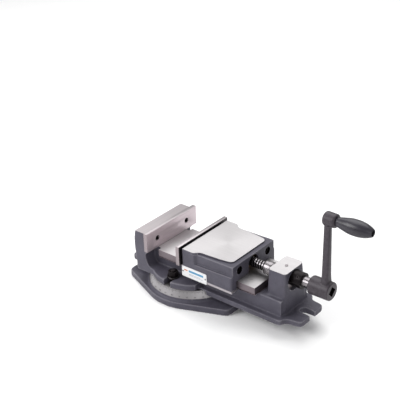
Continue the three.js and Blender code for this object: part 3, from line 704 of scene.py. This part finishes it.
def make_body():
    jaw_top = BODY_HIGH.z
    deck_top = 91.1 * MM
    deck_half = 46 * MM
    rail_half = 55.3 * MM
    rail_start = -48 * MM
    rail_end = 201 * MM
    rail_bottom = 74.7 * MM
    cast_half = 74 * MM
    housing_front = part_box("screw_bushing")[0].x - 0.5 * MM
    housing_back = 256.5 * MM
    recess_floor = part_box("rear_collar")[0].x - 0.5 * MM
    recess_axis = (0, 0, 104.5 * MM)
    recess_radius = 22 * MM
    oiler = centre("oil_fitting")
    housing_top = 129.3 * MM
    seat_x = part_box("fixed_jaw_plate")[0].x - 0.3 * MM
    axis = (0, 0, SCREW_AXIS_Z)
    body = copy_cad("body_casting", "vise_body", PAINT)
    for level in (jaw_top, deck_top, housing_top):
        raise_faces(body, "Z", level, 3 * MM)
    raise_faces(body, "X", rail_end, 2 * MM)
    raise_faces(body, "X", rail_start, -2 * MM)
    for sign in SIDES.values():
        raise_faces(body, "Y", sign * rail_half, sign * 2 * MM)
    bore_plug = rod("bore_plug", "X", 16 * MM, housing_front, recess_floor + 2 * MM, axis)
    recess_plug = rod(
        "recess_plug", "X", recess_radius + 0.5 * MM, recess_floor - MM, housing_back, recess_axis,
    )
    post_plug = rod("post_plug", "Z", 22 * MM, 38 * MM, 51 * MM)
    oil_plug = rod("oil_plug", "Z", 4 * MM, 120 * MM, housing_top + 3 * MM, (oiler.x, 0, 0), 16)
    seat_stock = block(
        "seat_stock", (seat_x - 3 * MM, -cast_half, deck_top - 7 * MM),
        (seat_x + 3 * MM, cast_half, jaw_top + 3 * MM),
    )
    join_solids(body, bore_plug, recess_plug, post_plug, oil_plug, seat_stock)
    cast(body, 1.5 * MM, 7)
    cuts = [
        block("jaw_top_cut", (-0.11, -0.09, jaw_top), (seat_x + PAST, 0.09, jaw_top + 0.01), GROUND_Y),
        block("seat_cut", (seat_x, -0.09, deck_top), (seat_x + PAST, 0.09, jaw_top + 0.01), MACHINED),
        block(
            "deck_cut", (seat_x, -rail_half - 5 * MM, deck_top),
            (rail_end + 6 * MM, rail_half + 5 * MM, deck_top + PAST), GROUND_X,
        ),
        block("housing_cut", (0.205, -0.05, housing_top), (0.27, 0.05, housing_top + PAST), GROUND_X),
        rod("bore", "X", 15.3 * MM, housing_front - PAST, 0.3, axis, 64, MACHINED),
        rod("recess", "X", recess_radius, recess_floor + 0.4 * MM, 0.3, recess_axis, 96, PAINT),
        rod("recess_face", "X", recess_radius - 0.4 * MM, recess_floor, 0.3, recess_axis, 96, MACHINED),
        rod("post_bore", "Z", 20.3 * MM, 0.02, 0.05, (0, 0, 0), 64, MACHINED),
        rod("oil_bore", "Z", 2.7 * MM, 0.12, 0.14, (oiler.x, 0, 0), 24, MACHINED),
    ]
    for sign in SIDES.values():
        inner, outer = sorted((sign * (deck_half + 1.5 * MM), sign * 90 * MM))
        cuts.append(block(
            "seat_side_cut", (seat_x, inner, deck_top - 7 * MM),
            (seat_x + PAST, outer, jaw_top + 0.01), MACHINED,
        ))
        # The rails' sides take a darker copy of the ground steel: painted shade.
        inner, outer = sorted((sign * rail_half, sign * (rail_half + 5 * MM)))
        cuts.append(block(
            "rail_side_cut", (rail_start - 4 * MM, inner, rail_bottom + MM),
            (rail_end + 5 * MM, outer, deck_top + MM), RAIL_SIDE_PAINTED_SHADE,
        ))
    # The rails' front end takes the same painted shade.
    cuts.append(block(
        "rail_end_cut", (rail_end, -rail_half - MM, rail_bottom + 2 * MM),
        (rail_end + 5 * MM, rail_half + MM, deck_top + MM), RAIL_SIDE_PAINTED_SHADE,
    ))
    cut(body, *cuts)
    smooth(body)
    piece(body, "turntable", "body_cast", "vise_body")


def make_plates():
    """Two ground jaw plates; the fixed one shows its counterbored screws."""
    for node, name, body in (
        ("fixed_jaw_plate", "fixed_plate", "turntable"),
        ("moving_jaw_plate", "moving_plate", "jaw"),
    ):
        low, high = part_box(node)
        plate = block(name, low, high, PLATE_STEEL)
        if body == "turntable":
            for side in SIDES:
                middle = centre(f"fixed_plate_screw_{side}")
                place = (0, middle.y, middle.z)
                # The bore and hole walls take the black material as painted shade inside the holes.
                cut(
                    plate,
                    rod("bore", "X", 5.9 * MM, high.x - 6.2 * MM, high.x + MM, place, 48, BLACK),
                    rod("hole", "X", 3.3 * MM, low.x - MM, high.x, place, 32, BLACK),
                )
        soften(plate, 0.6 * MM, 2)
        face_material(plate, "Z", 1, GROUND_Y)
        # The end faces take a darker copy of the plate steel: painted shade.
        for sign in SIDES.values():
            face_material(plate, "Y", sign, PLATE_ENDS_PAINTED_SHADE)
        if body == "jaw":
            # Painted shade: the moving plate's back face takes the dark steel.
            face_material(plate, "X", 1, DARK_STEEL_AND_PAINTED_SHADE)
        piece(plate, body, "jaw_plate", node)


# Screws and nuts


def socket_screw(name, node, body, shank, head, head_length, socket):
    """Cap screw along X whose head points to +X. shank, head and socket are radii."""
    low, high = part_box(node)
    middle = (0, (low.y + high.y) / 2, (low.z + high.z) / 2)
    tip, end = low.x, high.x
    chamfer = 0.8 * MM
    under_head = end - head_length
    profile = [
        (tip, 0), (tip, shank - chamfer), (tip + chamfer, shank), (under_head, shank), (under_head, head),
        (end - chamfer, head), (end, head - chamfer), (end, 0),
    ]
    screw = turned(name, profile, "X", middle, 40, BLACK)
    hexagon = polygon(6, socket, 0, middle[1:])
    depth = head_length * 0.55
    cut(screw, prism("socket", hexagon, "X", end - depth, end + MM, BLACK))
    soften(screw, 0.15 * MM, 2, 40)
    return piece(screw, body, "black_steel", node)


def make_screws():
    for side in SIDES:
        for name, node, body, *sizes in (
            ("plate_screw", "fixed_plate_screw", "turntable", 3 * MM, 5.2 * MM, 4 * MM, 2.9 * MM),
            ("long_bolt", "jaw_plate_bolt", "jaw", 5 * MM, 8 * MM, 10 * MM, 4.6 * MM),
        ):
            socket_screw(f"{name}_{side}", f"{node}_{side}", body, *sizes)


def make_clamps():
    for side in SIDES:
        body = f"{side}_nut"
        low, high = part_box(f"clamp_nut_{side}")
        middle = centre(f"clamp_nut_{side}")
        place = (middle.x, middle.y, 0)
        corner = (high.y - low.y) / 2
        nut = prism(f"nut_{side}", polygon(6, corner, math.pi / 2, place[:2]), "Z", low.z, high.z, BLACK)
        crown = turned("crown", [
            (low.z - MM, 0), (low.z - MM, corner * 0.93), (low.z + 1.5 * MM, corner * 1.06),
            (high.z - 1.5 * MM, corner * 1.06), (high.z + MM, corner * 0.8), (high.z + MM, 0),
        ], "Z", place, 64, BLACK)
        combine(nut, "INTERSECT", crown)
        cut(nut, rod("thread_hole", "Z", 6.3 * MM, low.z - MM, high.z + MM, place, 32, BLACK))
        soften(nut, 0.3 * MM, 2, 25)
        piece(nut, body, "black_steel", f"clamp_nut_{side}")

        low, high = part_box(f"clamp_washer_{side}")
        bore = 6.3 * MM
        radius = (high.x - low.x) / 2
        washer = closed_ring(f"washer_{side}", [
            (low.z, bore), (low.z, radius), (high.z - 0.5 * MM, radius),
            (high.z, radius - 0.5 * MM), (high.z, bore),
        ], "Z", place, 64, DARK_STEEL_AND_PAINTED_SHADE)
        piece(smooth(washer), "turntable", "bright_steel", f"clamp_washer_{side}")

        low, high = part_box(f"t_bolt_{side}")
        head = block(f"clamp_bolt_{side}", low, (high.x, high.y, low.z + 9.5 * MM), BLACK)
        pitch = 1.75 * MM
        stud_profile = [(low.z + 5 * MM, 0), (low.z + 5 * MM, 5.9 * MM)]
        height = low.z + 14 * MM
        while height < high.z - 2 * MM:
            stud_profile += [(height, 5.9 * MM), (height + pitch / 2, 5.1 * MM)]
            height += pitch
        stud_profile += [(high.z - MM, 5.7 * MM), (high.z, 5 * MM), (high.z, 0)]
        stud = turned("stud", stud_profile, "Z", place, 40, BLACK)
        join_solids(head, stud)
        soften(head, 0.3 * MM, 2, 60)
        piece(head, "turntable", "black_steel", f"t_bolt_{side}")


make_body()
make_plates()
make_screws()
make_clamps()

# Moving jaw


def make_jaw():
    """Casting whose walls step back under a ground pad with an S-shaped edge."""
    top = JAW_HIGH.z
    half = (JAW_HIGH.y - JAW_LOW.y) / 2
    plate_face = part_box("moving_jaw_plate")[0].x
    shoulder = plate_face + 42 * MM
    pad_half = 63.5 * MM        # the pad narrows towards the screw
    pad_end_half = 56 * MM
    pad_end = plate_face + 127.5 * MM
    jaw = copy_cad("jaw_casting", "moving_jaw", PAINT)
    plugs = []
    for side in SIDES:
        middle = centre(f"jaw_plate_bolt_{side}")
        plugs.append(rod(
            "bolt_plug", "X", 9.2 * MM, JAW_HIGH.x - 15 * MM, JAW_HIGH.x, (0, middle.y, middle.z), 24,
        ))
    join_solids(jaw, *plugs)
    cut(jaw, block("pad_space", (shoulder - 12 * MM, -0.09, 126.8 * MM), (0.2, 0.09, top + MM)))
    rim = prism("rim", [
        (shoulder, 125 * MM), (JAW_HIGH.x, 125 * MM), (JAW_HIGH.x, 128 * MM), (shoulder, 126.5 * MM),
    ], "Y", 5 * MM - half, half - 5 * MM)
    join_solids(jaw, rim)
    cast(jaw, 1.1 * MM, 4)
    near_pad = [
        (JAW_LOW.x + 4 * MM, 0.5 * MM - half, 0), (shoulder, 0.5 * MM - half, 5 * MM),
        (shoulder + 9 * MM, -pad_half, 5 * MM),
        (plate_face + 100 * MM, -60.5 * MM, 14 * MM), (pad_end, -pad_end_half, 9 * MM),
    ]
    far_pad = [(x, -y, reach) for x, y, reach in reversed(near_pad)]
    pad = prism("pad", rounded(near_pad + far_pad), "Z", 124 * MM, top + 2 * MM, PAINT)
    join_solids(jaw, pad)
    cuts = [block(
        "top_cut", (JAW_LOW.x - 5 * MM, -0.09, top), (JAW_HIGH.x + 5 * MM, 0.09, top + PAST), GROUND_X,
    )]
    for side in SIDES:
        middle = centre(f"jaw_plate_bolt_{side}")
        place = (0, middle.y, middle.z)
        # The counterbore walls take the black material as painted shade.
        cuts.append(rod("counterbore", "X", 8.7 * MM, JAW_HIGH.x - 14 * MM, 0.3, place, 48, BLACK))
        cuts.append(rod("hole", "X", 5.3 * MM, JAW_LOW.x - 5 * MM, JAW_HIGH.x, place, 32, MACHINED))
    cut(jaw, *cuts)
    smooth(jaw)
    piece(jaw, "jaw", "jaw_cast", "moving_jaw")


def make_keepers():
    for side in SIDES:
        low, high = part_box(f"keeper_{side}")
        strip = block(f"keeper_strip_{side}", low, high, KEEPER_STEEL)
        holes = []
        for i in (1, 2, 3):
            node = f"keeper_screw_{side}_{i}"
            middle = centre(node)
            place = (middle.x, middle.y, 0)
            holes.append(turned("hole", [
                (low.z - MM, 0), (low.z - MM, 7.5 * MM), (low.z + 0.4 * MM, 7.5 * MM),
                (low.z + 3.7 * MM, 4.3 * MM), (high.z + MM, 4.3 * MM), (high.z + MM, 0),
            ], "Z", place, 32, MACHINED))
            bottom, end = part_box(node)[0].z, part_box(node)[1].z
            screw = turned(f"keeper_screw_head_{side}_{i}", [
                (bottom, 0), (bottom, 6.8 * MM), (bottom + 0.1 * MM, 7 * MM), (bottom + 0.3 * MM, 7 * MM),
                (bottom + 3.3 * MM, 4 * MM), (end - 0.6 * MM, 4 * MM), (end, 3.4 * MM), (end, 0),
            ], "Z", place, 32, BLACK)
            hexagon = polygon(6, 2.4 * MM, 0, place[:2])
            cut(screw, prism("socket", hexagon, "Z", bottom - MM, bottom + 2.2 * MM, BLACK))
            piece(smooth(screw), "jaw", "black_steel", node)
        cut(strip, *holes)
        soften(strip, 0.4 * MM, 2)
        piece(strip, "jaw", "ground_strip", f"keeper_{side}")


def make_label():
    low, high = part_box("label_plate")
    outline = rounded([
        (low.x, low.z, 2 * MM), (high.x, low.z, 2 * MM), (high.x, high.z, 2 * MM), (low.x, high.z, 2 * MM),
    ])
    plate = prism("blank_plate", outline, "Y", low.y + 0.02 * MM, high.y, LABEL)
    soften(plate, 0.15 * MM, 2)
    piece(plate, "jaw", "label", "label_plate")
    marks = []
    for across, up, length, height, ink in (
        (6, 14.5, 9, 3, ORANGE_INK), (18, 13.5, 38, 5, BLUE_INK),
        (18, 9, 30, 0.8, RULE_INK), (18, 6.5, 36, 0.8, RULE_INK),
    ):
        start = Vector((low.x + across * MM, low.y - 0.01 * MM, low.z + up * MM))
        marks.append(block("mark", start, start + Vector((length * MM, 0.06 * MM, height * MM)), ink))
    printed = join_solids(*marks)
    printed.name = "label_print"
    piece(printed, "jaw", "label")
    for end in ("front", "rear"):
        middle = centre(f"label_rivet_{end}")
        rivet_low, rivet_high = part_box(f"label_rivet_{end}")
        radius = (rivet_high.x - rivet_low.x) / 2
        depth = rivet_high.y - rivet_low.y
        bm = bmesh.new()
        bmesh.ops.create_uvsphere(bm, u_segments=20, v_segments=10, radius=radius)
        bmesh.ops.scale(bm, vec=(1, depth / radius, 1), verts=bm.verts)
        bmesh.ops.translate(bm, vec=(middle.x, rivet_high.y, middle.z), verts=bm.verts)
        dome = new_object(f"rivet_{end}", bm, SCREW_STEEL)
        piece(smooth(dome, 80), "jaw", "rivets", f"label_rivet_{end}")


def make_nut_block():
    block_nut = copy_cad("bronze_nut", "screw_nut", BRONZE)
    soften(block_nut, 0.5 * MM, 2)
    piece(block_nut, "jaw", "bronze", "screw_nut")


make_jaw()
make_keepers()
make_label()
make_nut_block()

# Lead screw


def thread_solid(start, end, root, crest, pitch, origin, *materials):
    """Right-hand square-shouldered thread as one closed skin."""
    steps = 48
    shape = [(0.0, root), (0.08, crest), (0.5, crest), (0.58, root)]
    turns = int((end - start) / pitch) + 3
    total = turns * steps
    bm = bmesh.new()
    origin = Vector(origin)
    begin = start - pitch
    grid = []
    for i in range(total + steps + 1):
        angle = 2 * math.pi * i / steps
        outward = AXES["Y"] * math.cos(angle) + AXES["Z"] * math.sin(angle)
        row = []
        for fraction, radius in shape:
            along = begin + pitch * (i / steps + fraction)
            row.append(bm.verts.new(origin + AXES["X"] * along + outward * radius))
        grid.append(row)
    for i in range(total):
        for k in range(3):
            side = bm.faces.new([grid[i][k], grid[i + 1][k], grid[i + 1][k + 1], grid[i][k + 1]])
            # Crests take the bright steel; flanks and roots take the dark steel as painted shade in the
            # grooves.
            side.material_index = 0 if k == 1 else 1
        root_face = bm.faces.new([grid[i][3], grid[i + 1][3], grid[i + 1 + steps][0], grid[i + steps][0]])
        root_face.material_index = 1
    first = [grid[i][0] for i in range(steps + 1)] + [grid[0][k] for k in (3, 2, 1)]
    last = [grid[total + i][0] for i in range(steps + 1)] + [grid[total][k] for k in (3, 2, 1)]
    for loop, along in ((first, begin), (last, begin + pitch * turns + pitch)):
        hub = bm.verts.new(origin + AXES["X"] * along)
        for i in range(len(loop)):
            bm.faces.new([hub, loop[i], loop[(i + 1) % len(loop)]])
    loose = [vert for vert in bm.verts if not vert.link_faces]
    bmesh.ops.delete(bm, geom=loose, context="VERTS")
    return new_object("thread", bm, *materials)


def make_lead_screw():
    low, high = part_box("lead_screw")
    origin = (0, 0, SCREW_AXIS_Z)
    thread_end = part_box("thrust_collar")[0].x - 1.5 * MM
    crest = 10 * MM
    root = crest - 2.5 * MM
    journal = 11 * MM
    journal_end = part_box("crank_arm")[0].x - 0.3 * MM
    screw = thread_solid(low.x, thread_end, root, crest, THREAD_PITCH, origin, SCREW_STEEL, DARK_STEEL_AND_PAINTED_SHADE)
    envelope = turned("envelope", [
        (low.x, 0), (low.x, crest - 3 * MM), (low.x + 3 * MM, crest), (thread_end - 2.6 * MM, crest),
        (thread_end, root), (thread_end, 0),
    ], "X", origin, 96, SCREW_STEEL)
    combine(screw, "INTERSECT", envelope)
    shaft = turned("shaft", [
        (thread_end - 3 * MM, 0), (thread_end - 3 * MM, root - 0.4 * MM), (thread_end + MM, root - 0.4 * MM),
        (thread_end + MM, journal - 0.5 * MM), (thread_end + 1.5 * MM, journal), (journal_end - MM, journal),
        (journal_end, journal - MM), (journal_end, 0),
    ], "X", origin, 96, SCREW_STEEL)
    across = SQUARE_SIZE / 2
    square = block("square", (journal_end - 6 * MM, -across, -across), (high.x, across, across), SCREW_STEEL)
    set_on_screw(square, 45)
    join_solids(screw, shaft, square)
    screw.name = "threaded_screw"
    smooth(screw, 28)
    piece(screw, "screw", "bright_steel", "lead_screw")


def make_collars():
    origin = (0, 0, SCREW_AXIS_Z)
    for node, name, body in (
        ("thrust_collar", "front_collar", "screw"),
        ("thrust_race_collar", "race_of_collar", "screw"),
        ("thrust_race_housing", "race_of_housing", "turntable"),
    ):
        low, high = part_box(node)
        radius = (high.z - low.z) / 2
        ring = closed_ring(name, [
            (low.x, COLLAR_BORE), (low.x, radius), (high.x, radius), (high.x, COLLAR_BORE),
        ], "X", origin, 96, SCREW_STEEL)
        soften(ring, 0.5 * MM, 3)
        piece(ring, body, "bright_steel", node)
    low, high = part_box("thrust_ball_ring")
    cage = closed_ring("ball_cage", [
        (low.x + 0.6 * MM, 11.8 * MM), (low.x + 0.6 * MM, 13.9 * MM), (high.x - 0.6 * MM, 13.9 * MM),
        (high.x - 0.6 * MM, 11.8 * MM),
    ], "X", origin, 64, BRONZE)
    balls = bmesh.new()
    ball_count = 18
    ball_circle = 12.9 * MM
    middle_x = (low.x + high.x) / 2
    for i in range(ball_count):
        turn = 2 * math.pi * i / ball_count
        place = Vector((
            middle_x, ball_circle * math.cos(turn), SCREW_AXIS_Z + ball_circle * math.sin(turn),
        ))
        made = bmesh.ops.create_uvsphere(balls, u_segments=16, v_segments=10, radius=1.2 * MM)
        bmesh.ops.translate(balls, vec=place, verts=made["verts"])
    ball_set = new_object("thrust_balls", balls, SCREW_STEEL)
    piece(smooth(cage), "screw", "bronze", "thrust_ball_ring")
    piece(smooth(ball_set, 60), "screw", "bright_steel")

    low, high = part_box("rear_collar")
    radius = (high.z - low.z) / 2
    collar = closed_ring("set_collar", [
        (low.x, COLLAR_BORE), (low.x, radius), (high.x, radius), (high.x, COLLAR_BORE),
    ], "X", origin, 96, BLACK)
    hole = rod("hole", "Z", 3.3 * MM, 9 * MM, 25 * MM, (centre("collar_set_screw").x, 0, 0), 24, BLACK)
    set_on_screw(hole, 42)
    cut(collar, hole)
    soften(collar, 0.7 * MM, 3)
    piece(collar, "screw", "collar_steel", "rear_collar")


def make_oil_fitting():
    low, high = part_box("oil_fitting")
    middle = centre("oil_fitting")
    place = (middle.x, middle.y, 0)
    fitting = turned("ball_oiler", [
        (low.z, 0), (low.z, 2.4 * MM), (low.z + 4.8 * MM, 2.4 * MM), (low.z + 5 * MM, 3.2 * MM),
        (low.z + 5.3 * MM, 3.2 * MM), (high.z, 2.2 * MM), (high.z, 1.4 * MM), (high.z - 0.6 * MM, 1.1 * MM),
        (high.z - 0.6 * MM, 0),
    ], "Z", place, 32, MACHINED)
    piece(smooth(fitting), "turntable", "bright_steel", "oil_fitting")


make_lead_screw()
make_collars()
make_oil_fitting()

# Crank and grip


def make_crank():
    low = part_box("crank_arm")[0]
    origin = (0, 0, SCREW_AXIS_Z)
    boss_axis = (0, 0, CRANK_AXIS_Z)
    hub_end = 343 * MM
    boss_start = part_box("grip_bolt")[0].x - MM
    boss_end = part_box("handle_grip")[0].x - 0.5 * MM
    crank = copy_cad("crank_forging", "crank_arm", CRANK)
    join_solids(
        crank,
        rod("socket_plug", "X", 12 * MM, low.x, hub_end, origin, 24),
        rod("pin_plug", "X", 6 * MM, boss_start, boss_end, boss_axis, 24),
    )
    cast(crank, 1.0 * MM, 8, 0.5)
    square = SQUARE_SIZE / 2 + 0.3 * MM
    # The square socket's walls take the black material as painted shade inside the hole.
    socket = block("socket", (low.x - MM, -square, -square), (hub_end + MM, square, square), BLACK)
    set_on_screw(socket, 45)
    faces = [
        block("front_face", (low.x - PAST, -0.03, 0.08), (low.x + 0.4 * MM, 0.03, 0.14), MACHINED),
        block("end_face", (hub_end - 0.4 * MM, -0.03, 0.08), (hub_end + PAST, 0.03, 0.14), CRANK),
        rod("pin_hole", "X", 5.3 * MM, boss_start - PAST, boss_end + PAST, boss_axis, 32, MACHINED),
    ]
    cut(crank, socket, *faces)
    smooth(crank)
    piece(crank, "crank", "crank_steel", "crank_arm")


def make_grip():
    low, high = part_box("handle_grip")
    axis = (0, 0, CRANK_AXIS_Z)
    length = high.x - low.x
    widest = (high.z - low.z) / 2
    controls = [
        (0.0, 0.585), (0.03, 0.61), (0.15, 0.74), (0.31, 0.92), (0.42, 0.99), (0.53, 1.0), (0.62, 0.99),
        (0.72, 0.94), (0.84, 0.81), (0.92, 0.66), (0.97, 0.55), (1.0, 0.46),
    ]
    profile = [(low.x, 5.3 * MM)]
    profile += [(low.x + length * along, widest * share) for along, share in controls]
    profile += [(high.x, 6.3 * MM), (high.x - 7.3 * MM, 6.2 * MM), (high.x - 7.3 * MM, 5.3 * MM)]
    grip = closed_ring("grip_handle", profile, "X", axis, 48, GRIP)
    modify(grip, "BEVEL", width=0.4 * MM, segments=2, limit_method="ANGLE", angle_limit=math.radians(40))
    modify(grip, "SUBSURF", levels=2, render_levels=2)
    smooth(grip, 50)
    piece(grip, "grip", "grip", "handle_grip")

    low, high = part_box("grip_bolt")
    head_start = high.x - 4 * MM
    bolt = turned("shoulder_bolt", [
        (low.x, 0), (low.x, 4.4 * MM), (low.x + 0.6 * MM, 5 * MM), (head_start, 5 * MM),
        (head_start, 5.8 * MM), (high.x - 0.6 * MM, 5.8 * MM), (high.x, 5.2 * MM), (high.x, 0),
    ], "X", axis, 48, BLACK)
    hexagon = polygon(6, 2.8 * MM, 0, (0, CRANK_AXIS_Z))
    cut(bolt, prism("socket", hexagon, "X", high.x - 3 * MM, high.x + MM, BLACK))
    piece(smooth(bolt), "crank", "bright_steel", "grip_bolt")


make_crank()
make_grip()

# CAD nodes that stay, with a better finish


def dress(node, material):
    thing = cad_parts[node]
    thing.data.materials.clear()
    thing.data.materials.append(material)


dress("pivot_post", SCREW_STEEL)
dress("screw_bushing", BRONZE)
dress("collar_set_screw", BLACK)
for side_name in SIDES:
    dress(f"nut_screw_{side_name}", BLACK)
